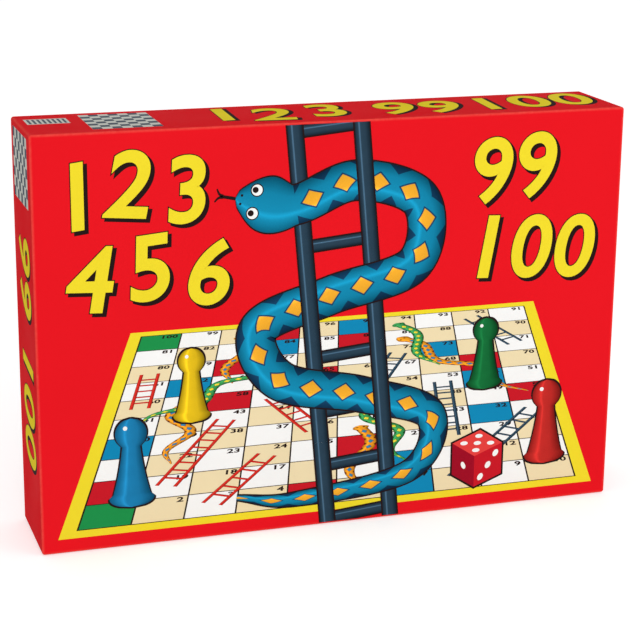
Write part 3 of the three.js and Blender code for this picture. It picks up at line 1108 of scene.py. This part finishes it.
def pawn_outline():
    """The points from the middle of the foot to the top of the head."""
    head_middle = PAWN_HEIGHT - HEAD
    neck_turn = math.asin(NECK / HEAD)
    neck_height = head_middle - HEAD * math.cos(neck_turn)
    outline = [(0.0, 0.0)]
    for i in range(FOOT_STEPS + 1):
        angle = math.pi / 2 * i / FOOT_STEPS
        outline.append((FOOT - FOOT_ROUND * (1.0 - math.sin(angle)), FOOT_ROUND * (1.0 - math.cos(angle))))
    outline += LEDGE
    waist = (SKIRT + NECK) / 2 - HOLLOW
    for i in range(1, BODY_STEPS + 1):
        t = i / BODY_STEPS
        radius = (1 - t) ** 2 * SKIRT + 2 * t * (1 - t) * waist + t * t * NECK
        outline.append((radius, SKIRT_LOW + (neck_height - SKIRT_LOW) * t))
    for i in range(1, HEAD_STEPS):
        angle = neck_turn + (math.pi - neck_turn) * i / HEAD_STEPS
        outline.append((HEAD * math.sin(angle), head_middle - HEAD * math.cos(angle)))
    return outline + [(0.0, PAWN_HEIGHT)]


PAWN_OUTLINE = pawn_outline()
print("a pawn's outline has", len(PAWN_OUTLINE), "points")

# %% [markdown]
# A printed pawn
#
# A picture of a pawn shows it a little from above, so its round foot dips below the outline. A render
# of the turned pawn would be an image. A strip in painted ink looks round without one, a wider dark
# strip below gives it an outline, and a white spot makes it look glossy.

# %% Draw a pawn
FOOT_DIP = 2.6
PAWN_STEPS = 60
GLINT_LEFT, GLINT_DOWN, GLINT_SIZE = 0.36, 0.62, 0.14


def pawn_radius(height):
    """The half width of a pawn in the picture, at a height above its foot."""
    if height < FOOT_ROUND:
        return FOOT * math.sqrt(max(1.0 - ((FOOT_ROUND - height) / (FOOT_ROUND + FOOT_DIP)) ** 2, 0.0))
    for (r0, z0), (r1, z1) in zip(PAWN_OUTLINE, PAWN_OUTLINE[1:]):
        if z0 <= height <= z1 and z1 > z0:
            return r0 + (r1 - r0) * (height - z0) / (z1 - z0)
    return 0.0


def draw_pawn(drawing, ink, foot, scale, layer):
    foot = Vector(foot)
    low = foot - Vector((0.0, FOOT_DIP * scale))
    high = foot + Vector((0.0, PAWN_HEIGHT * scale))
    rim = Vector((0.0, OUTLINE))

    def width(t):
        return pawn_radius((PAWN_HEIGHT + FOOT_DIP) * t - FOOT_DIP) * scale

    outer = straight(low - rim, high + rim)
    draw_ribbon(drawing["dark"], outer, lambda t: width(t) + OUTLINE, PAWN_STEPS, layer)
    draw_ribbon(drawing[ink], straight(low, high), width, PAWN_STEPS, layer + 1, across=6)
    glint = foot + Vector((-GLINT_LEFT * HEAD, PAWN_HEIGHT - GLINT_DOWN * HEAD)) * scale
    draw_disc(drawing["white"], glint, GLINT_SIZE * HEAD * scale, layer + 2, steps=16)


print("half way up a pawn is", round(2 * pawn_radius(PAWN_HEIGHT / 2), 1), "mm wide")

# %% [markdown]
# A printed die
#
# The printed die is a cube in parallel projection: three slanted squares in three reds, with spots
# that are slanted with their sides. A render of the real die would be an image again.

# %% Draw a die
DIE_RIGHT, DIE_LEFT, DIE_UP = (0.86, 0.34), (-0.70, 0.46), (0.0, 0.96)
DIE_RIM = 1.6
SPOT_STEP, SPOT_SIZE = 0.27, 0.105
PIP_SPOTS = {
    1: [(0, 0)], 2: [(-1, -1), (1, 1)], 3: [(-1, -1), (0, 0), (1, 1)],
    4: [(-1, -1), (-1, 1), (1, -1), (1, 1)], 5: [(-1, -1), (-1, 1), (0, 0), (1, -1), (1, 1)],
    6: [(-1, -1), (-1, 0), (-1, 1), (1, -1), (1, 0), (1, 1)]}


def draw_die(drawing, corner, size, layer):
    """A die above its lowest corner: right side, left side and top."""
    corner = Vector(corner)
    right, left, up = (Vector(edge) * size for edge in (DIE_RIGHT, DIE_LEFT, DIE_UP))
    hull = [corner, corner + right, corner + right + up]
    hull += [corner + right + up + left, corner + left + up, corner + left]
    middle = corner + (right + left + up) / 2
    grow = 1.0 + DIE_RIM * OUTLINE / size
    draw_outline(drawing["dark"], [middle + (point - middle) * grow for point in hull], layer)
    sides = (("red", 3, corner, right, up), ("crimson", 1, corner + left, -left, up),
             ("scarlet", 5, corner + up, right, left))
    for ink, pips, origin, u, v in sides:
        draw_outline(drawing[ink], [origin, origin + u, origin + u + v, origin + v], layer + 1)
        for i, j in PIP_SPOTS[pips]:
            spot = origin + u * (0.5 + SPOT_STEP * i) + v * (0.5 + SPOT_STEP * j)
            draw_ellipse(drawing["white"], spot, u * SPOT_SIZE, v * SPOT_SIZE, layer + 2)


print("a die has", sum(len(spots) for spots in PIP_SPOTS.values()), "pips")

# %% [markdown]
# Lid print: pawns and a die
#
# Two pawns stand further back on the pictured board and are smaller, and two stand in front, with the
# die. The projective map could work out their sizes, but in a flat picture two given sizes are enough.
# With them the lid's printing is complete, and its sheet becomes pieces that ride on the lid.

# %% Print the pieces on the lid
LID_PAWNS = [("pawn_yellow", (94.0, 80.0), 1.45), ("pawn_green", (286.0, 84.0), 1.45),
             ("pawn_blue", (56.0, 30.0), 1.75), ("pawn_red", (330.0, 30.0), 1.75)]
LID_DIE, LID_DIE_SIZE = (281.0, 14.0), 22.0

drawing = new_drawing()
for ink, foot, scale in LID_PAWNS:
    draw_pawn(drawing, ink, foot, scale, 0)
draw_die(drawing, LID_DIE, LID_DIE_SIZE, 0)
press(lid_sheet, drawing, FACE @ ABOVE_BOARD)
finish_sheet("lid_print", lid_sheet, "lid")

# %% [markdown]
# Back print
#
# The back of such a box shows what is in it. The board's drawing is used again, laid flat and scaled
# down by its placement, beside the four pawns and the die, so nothing new has to be drawn.

# %% Print the back
BACK_BOARD = (38.0, 50.0)
BACK_SCALE = 0.44
BACK_PAWNS = Vector((235.0, 64.0))
BACK_PAWN_PITCH, BACK_PAWN_SCALE = 34.0, 1.7
BACK_DIE = Vector((54.4, 82.0))
BACK_DIE_SIZE = 30.0

back_sheet = new_drawing()
smaller = Matrix.Diagonal((BACK_SCALE, BACK_SCALE, 1.0, 1.0))
shifted = Matrix.Translation(Vector(BACK_BOARD).to_3d())
press(back_sheet, bordered_board(), BACK @ ON_PAPER @ shifted @ smaller)
drawing = new_drawing()
for i, ink in enumerate(PAWN_COLOURS):
    draw_pawn(drawing, ink, BACK_PAWNS + Vector((BACK_PAWN_PITCH * i, 0.0)), BACK_PAWN_SCALE, 0)
draw_die(drawing, BACK_PAWNS + BACK_DIE, BACK_DIE_SIZE, 0)
press(back_sheet, drawing, BACK @ ON_PAPER)
finish_sheet("back_print", back_sheet, "base")

# %% [markdown]
# Board, card and paper
#
# Greyboard is pressed waste paper: grey-brown, matt, with flecks. The insert is white-lined card,
# the stays are kraft tape, and the board's back is lined with a linen-embossed blue paper. Scans of
# these would be image textures. Noise for the fibres, small Voronoi cells for the flecks and two
# crossed sine waves for the linen give the same look at any scale.

# %% Mix board, card and paper
FLECK_LOW, FLECK_HIGH, FLECK_STRENGTH = 0.10, 0.16, 0.6
FIBRE_SHADE, LINEN_SHADE = 0.86, 0.8
THREADS = 6500.0


def fibrous(name, light, fleck, roughness, fleck_scale):
    material, tree, shader = start_finish(name, roughness, specular=0.2)
    place = object_place(tree)
    fibres = noise(tree, place, scale=260.0, detail=6.0, roughness=0.7)
    tone = toned(tree, fibres, light, FIBRE_SHADE)
    cells = add(tree, "ShaderNodeTexVoronoi", {"Vector": place, "Scale": fleck_scale}).outputs["Distance"]
    flecks = map_range(tree, cells, FLECK_LOW, FLECK_HIGH, to_low=FLECK_STRENGTH, to_high=0.0)
    tree.links.new(blend_colours(tree, flecks, tone, fleck), shader.inputs["Base Color"])
    tree.links.new(bump(tree, fibres, strength=0.25, distance=0.0003), shader.inputs["Normal"])
    return material


def linen(name, colour):
    material, tree, shader = start_finish(name, roughness=0.62, specular=0.25)
    place = object_place(tree)
    axes = split(tree, place)
    warp = maths(tree, "SINE", maths(tree, "MULTIPLY", axes[0], THREADS))
    weft = maths(tree, "SINE", maths(tree, "MULTIPLY", axes[2], THREADS))
    weave = maths(tree, "MULTIPLY", warp, weft)
    shade = noise(tree, place, scale=90.0, detail=4.0)
    tree.links.new(toned(tree, shade, colour, LINEN_SHADE), shader.inputs["Base Color"])
    tree.links.new(bump(tree, weave, strength=0.15, distance=0.0003), shader.inputs["Normal"])
    return material


GREYBOARD = fibrous("pressed_greyboard", (0.47, 0.44, 0.39, 1.0), (0.20, 0.17, 0.14, 1.0), 0.9, 420.0)
WHITE_CARD = fibrous("white_card", (0.84, 0.83, 0.79, 1.0), (0.66, 0.64, 0.60, 1.0), 0.75, 260.0)
LEAFLET = fibrous("leaflet_paper", (0.90, 0.89, 0.85, 1.0), (0.80, 0.79, 0.75, 1.0), 0.8, 300.0)
KRAFT = fibrous("kraft_tape", (0.52, 0.36, 0.19, 1.0), (0.30, 0.18, 0.08, 1.0), 0.8, 500.0)
LINING = linen("board_back_lining", (0.020, 0.080, 0.300, 1.0))
print("mixed", [finish.name for finish in (GREYBOARD, WHITE_CARD, LEAFLET, KRAFT, LINING)])

# %% [markdown]
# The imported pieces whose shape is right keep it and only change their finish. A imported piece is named
# for what it is, so the end of its name tells which finish it gets, and the stays take what is left.

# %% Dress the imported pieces
FINISH_OF_ENDING = {
    "greyboard": GREYBOARD,
    "panel": GREYBOARD,
    "face_sheet": INKS["yellow"],
    "back_lining": LINING,
    "lid_cover_paper": LID_PAPER,
    "base_cover_paper": BASE_PAPER,
    "insert_card": WHITE_CARD,
    "rules_leaflet": LEAFLET,
}
REPLACED = ("pawn", "die")

kept = {name: node for name, node in frame["nodes"].items() if not name.startswith(REPLACED)}
for name, node in kept.items():
    endings = [ending for ending in FINISH_OF_ENDING if name.endswith(ending)]
    node.data.materials.clear()
    node.data.materials.append(FINISH_OF_ENDING[endings[0]] if endings else KRAFT)
print("dressed", len(kept), "packed pieces")

# %% [markdown]
# The folding board's print
#
# The real board's sheet is printed whole and cut at the fold. So is the drawing here: the lower five
# rows belong to the rear half and the upper five to the front half, and each rides on its own half.
# It could be drawn as two halves, but then snakes and ladders that cross the fold would not meet. Both
# prints stop just short of the fold, where the paper bends. Packed away, the front half lies face down
# on the rear half, so its drawing is placed upside down, facing the other way.

# %% Print the two halves
SPINE = 0.9

rear_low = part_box("board_rear_face_sheet")[0]
front_low, front_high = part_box("board_front_face_sheet")
fold_height = next(joint for joint in frame["joints"] if joint["name"] == "board_fold")["pos_m"][2]
reach = SIDE / 2 * MM
REAR = surface((rear_low.x, rear_low.y, fold_height - reach), (1, 0, 0), (0, 0, 1))
FRONT = surface((front_low.x, front_high.y, fold_height + reach), (1, 0, 0), (0, 0, -1))
for half, placement, up in (("rear", REAR, 1.0), ("front", FRONT, -1.0)):
    sheet = new_drawing()
    drawing = copy_of_board()
    for bm in drawing.values():
        trim(bm, (0.0, SIDE / 2 - up * SPINE, 0.0), (0.0, up, 0.0))
    press(sheet, drawing, placement)
    finish_sheet(f"board_{half}_print", sheet, f"board_{half}")

# %% [markdown]
# Pawns
#
# A pawn is turned on a lathe and dipped in paint. The Screw modifier could turn the outline too, but
# a bmesh spin does the same in one call and leaves a finished mesh. The outline follows the packed
# solid, only with finer steps. The paint is thick and glossy, and a little of the wood's grain,
# stretched upwards, shows through it.

# %% Turn the pawns
PAWN_SIDES = 48
WOOD_GRAIN = (700.0, 700.0, 60.0)
GRAIN_SHADE = 0.82


def gloss_paint(name, colour):
    material, tree, shader = start_finish(name, roughness=0.22)
    place = object_place(tree)
    stretched = add(tree, "ShaderNodeMapping", {"Vector": place, "Scale": WOOD_GRAIN}).outputs[0]
    grain = noise(tree, stretched, scale=1.0, detail=4.0, roughness=0.6)
    tree.links.new(toned(tree, grain, colour, GRAIN_SHADE), shader.inputs["Base Color"])
    tree.links.new(bump(tree, grain, strength=0.12, distance=0.0004), shader.inputs["Normal"])
    shader.inputs["Coat Weight"].default_value = 0.5
    shader.inputs["Coat Roughness"].default_value = 0.12
    return material


for name, colour in PAWN_COLOURS.items():
    low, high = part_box(name)
    bm = bmesh.new()
    rings = [bm.verts.new((r, 0.0, z)) for r, z in PAWN_OUTLINE]
    profile = [bm.edges.new(pair) for pair in zip(rings, rings[1:])]
    bmesh.ops.spin(bm, geom=rings + profile, cent=(0, 0, 0), axis=(0, 0, 1),
                   angle=2 * math.pi, steps=PAWN_SIDES, use_merge=True)
    stand = Matrix.Translation(((low.x + high.x) / 2, (low.y + high.y) / 2, low.z)) @ Matrix.Scale(MM, 4)
    mesh = finish_mesh("turned_" + name, bm, stand)
    mesh.shade_smooth()
    pawn = make_piece("turned_" + name, mesh, gloss_paint(name + "_paint", colour), name)
    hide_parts(name)
    print("turned", pawn.name, "with", len(mesh.polygons), "faces")

# %% [markdown]
# Die
#
# The die is a red cube with generously rounded edges and hollowed, painted pips. Spots of white ink
# would be simpler, but a hollow catches the light. The hollows are cut with a Boolean modifier, which
# also hands the cutter's white paint to the faces that it leaves.

# %% Mix the die's finishes
SWIRL_SHADE = 0.84
PLASTIC_ROUGHNESS = 0.14
SMOOTHER, SCRATCHED = 0.04, 0.10


def gloss_plastic(name, colour):
    material, tree, shader = start_finish(name, PLASTIC_ROUGHNESS)
    place = object_place(tree)
    swirl = noise(tree, place, scale=180.0, detail=3.0)
    tree.links.new(toned(tree, swirl, colour, SWIRL_SHADE), shader.inputs["Base Color"])
    scratches = noise(tree, place, scale=700.0, detail=5.0)
    wear_and_shine = map_range(tree, scratches, low=0.0, high=1.0,
                     to_low=PLASTIC_ROUGHNESS - SMOOTHER, to_high=PLASTIC_ROUGHNESS + SCRATCHED)
    tree.links.new(wear_and_shine, shader.inputs["Roughness"])
    return material


DIE_RED = gloss_plastic("die_plastic", (0.52, 0.010, 0.045, 1.0))
PIP_WHITE = gloss_plastic("pip_paint", (0.88, 0.87, 0.84, 1.0))
print("mixed", DIE_RED.name, "and", PIP_WHITE.name)

# %% Cut the die
DIE = 16.0
DIE_ROUNDING = 2.2
PIP_STEP = 4.2
PIP_RADIUS = 1.75
PIP_RISE = 1.0
SHARP_ANGLE = 35
DIE_TURNS = {5: (0, "X"), 2: (180, "X"), 3: (90, "X"), 4: (-90, "X"), 6: (90, "Y"), 1: (-90, "Y")}


def loose_object(name, bm, placement, materials):
    holder = bpy.data.objects.new(name, finish_mesh(name, bm, placement))
    for material in materials:
        holder.data.materials.append(material)
    scene.collection.objects.link(holder)
    return holder


low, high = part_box("die")
centre = Matrix.Translation((low + high) / 2) @ Matrix.Scale(MM, 4)
cutters = bmesh.new()
for pips, (degrees, axis) in DIE_TURNS.items():
    for u, v in PIP_SPOTS[pips]:
        spot = turn(degrees, axis) @ Vector((u * PIP_STEP, v * PIP_STEP, DIE / 2 + PIP_RISE))
        bmesh.ops.create_uvsphere(cutters, u_segments=20, v_segments=12, radius=PIP_RADIUS,
                                  matrix=Matrix.Translation(spot))
cutter = loose_object("pip_cutters", cutters, centre, [PIP_WHITE])
cube = bmesh.new()
bmesh.ops.create_cube(cube, size=DIE)
bmesh.ops.bevel(cube, geom=cube.edges[:], offset=DIE_ROUNDING, segments=6, profile=0.5,
                affect="EDGES", material=-1)
block = loose_object("die_block", cube, centre, [DIE_RED, PIP_WHITE])
cut = block.modifiers.new("pips", "BOOLEAN")
cut.object = cutter
cut.operation = "DIFFERENCE"
cut.solver = "EXACT"
cut.material_mode = "TRANSFER"
die_mesh = bpy.data.meshes.new_from_object(block.evaluated_get(bpy.context.evaluated_depsgraph_get()))
die_mesh.name = "rounded_die"
die_mesh.shade_smooth()
die_mesh.set_sharp_from_angle(angle=math.radians(SHARP_ANGLE))
die = bpy.data.objects.new("rounded_die", die_mesh)
scene.collection.objects.link(die)
bpy.data.objects.remove(block)
bpy.data.objects.remove(cutter)
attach(die, "die")
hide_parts("die")
print("made", die.name, "with", len(die_mesh.polygons), "faces and", len(die_mesh.materials), "finishes")

# %% [markdown]
# Leaflet print
#
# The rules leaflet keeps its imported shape. A real one is full of text. This one explains the game in
# small pictures: the board's grid, and four numbered pictures of a turn: throw the die, move the
# pawn, climb a ladder, slide down a snake. They come from the same drawing functions, at other sizes.

# %% Print the leaflet
LEAF_GRID, LEAF_CELL, LEAF_LINE = 22.0, 10.0, 0.4
STEP_PLACES = [(142.0, 78.0), (178.0, 78.0), (142.0, 22.0), (178.0, 22.0)]
STEP_NUMBER, STEP_WEIGHT = 10.0, 0.2
NUMBER_SHIFT = Vector((-9.0, 42.0))
DIE_SHIFT = Vector((1.0, 4.0))
PAWN_SHIFT = Vector((2.0, 4.0))
LADDER_RISE = Vector((6.0, 38.0))
SNAKE_RISE = Vector((2.0, 36.0))

leaf_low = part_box("rules_leaflet")[0]
LEAF = surface(leaf_low, (1, 0, 0), (0, 0, 1))
drawing = new_drawing()
draw_grid(drawing["grey"], LEAF_GRID, LEAF_CELL, LEAF_LINE)
places = [Vector(place) for place in STEP_PLACES]
for i, place in enumerate(places):
    draw_number(drawing["dark"], str(i + 1), STEP_NUMBER, place + NUMBER_SHIFT, 0, STEP_WEIGHT)
die_place, pawn_place, ladder_place, snake_place = places
draw_die(drawing, die_place + DIE_SHIFT, size=15.0, layer=0)
draw_pawn(drawing, "pawn_blue", pawn_place + PAWN_SHIFT, scale=1.1, layer=0)
draw_ladder(drawing, "ladder", ladder_place, ladder_place + LADDER_RISE, layer=0,
            half_gauge=5.0, half_rail=1.0, pitch=6.0)
small_snake = snake_path(snake_place + SNAKE_RISE, snake_place, sway=5.0)
draw_snake(drawing, "green_snake", small_snake, body=3.0, neck=0.85, layer=0)
leaflet_sheet = new_drawing()
press(leaflet_sheet, drawing, LEAF @ ON_PAPER)
finish_sheet("leaflet_print", leaflet_sheet, "leaflet")

# %% [markdown]
# Floor and light
#
# The box stands on a plain white floor under soft studio light: a bright even surround, one large
# lamp in front and a weaker one to the right. More light would whiten the floor too, but it would
# bleach the box. So the floor and the surround are a little brighter to the camera, and in
# reflections, than they are as lights, and they meet in white without adding light to the box.

# %% Lay the floor
FLOOR_HALF = 12.0
FLOOR_DROP = 0.0004
FLOOR_WHITE = 0.92
FLOOR_GLOW = 0.41


def seen_directly(tree):
    """1 for rays from the camera, a reflection or glass, and 0 for rays that gather light."""
    rays = add(tree, "ShaderNodeLightPath").outputs
    bent = maths(tree, "MAXIMUM", rays["Is Glossy Ray"], rays["Is Transmission Ray"])
    return maths(tree, "MAXIMUM", rays["Is Camera Ray"], bent)


floor_shape = bmesh.new()
bmesh.ops.create_grid(floor_shape, x_segments=1, y_segments=1, size=FLOOR_HALF)
below = Matrix.Translation((0.0, 0.0, -FLOOR_DROP))
floor = bpy.data.objects.new("floor", finish_mesh("floor", floor_shape, below))
scene.collection.objects.link(floor)
floor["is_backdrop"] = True
floor_finish, tree, shader = start_finish("floor_white", roughness=0.9, specular=0.1)
shader.inputs["Base Color"].default_value = grey(FLOOR_WHITE)
shader.inputs["Emission Color"].default_value = grey(1.0)
glow = maths(tree, "MULTIPLY", seen_directly(tree), FLOOR_GLOW)
tree.links.new(glow, shader.inputs["Emission Strength"])
floor.data.materials.append(floor_finish)
print("laid a floor", 2 * FLOOR_HALF, "m wide")

# %% Hang the lamps
SURROUND = 0.64
BOX_MIDDLE = (cad_low + cad_high) / 2


def area_lamp(name, place, size, watts):
    data = bpy.data.lights.new(name, "AREA")
    data.shape = "SQUARE"
    data.size = size
    data.energy = watts
    lamp = bpy.data.objects.new(name, data)
    lamp.location = place
    lamp.rotation_euler = (BOX_MIDDLE - Vector(place)).to_track_quat("-Z", "Y").to_euler()
    scene.collection.objects.link(lamp)
    print("hung", name, "of", watts, "watts")


world = bpy.data.worlds.new("studio")
scene.world = world
world.use_nodes = True
surround = world.node_tree.nodes["Background"]
surround.inputs["Color"].default_value = grey(1.0)
level = map_range(world.node_tree, seen_directly(world.node_tree), 0.0, 1.0, SURROUND, 1.0)
world.node_tree.links.new(level, surround.inputs["Strength"])
area_lamp("key_lamp", place=(-0.3, -2.2, 0.7), size=1.0, watts=16.0)
area_lamp("fill_lamp", place=(1.4, -1.4, 0.7), size=1.0, watts=6.5)
scene.view_settings.view_transform = "Standard"

# %% [markdown]
# Measure and finish
#
# The dressed game must keep the size of the imported one. That could be read off in the viewport. Here
# the dressed game's size is printed at the end, beside the imported one's, which was printed at the start.

# %% Print the dressed size
low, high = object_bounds()
print("visual box", [round(v, 5) for v in high - low])
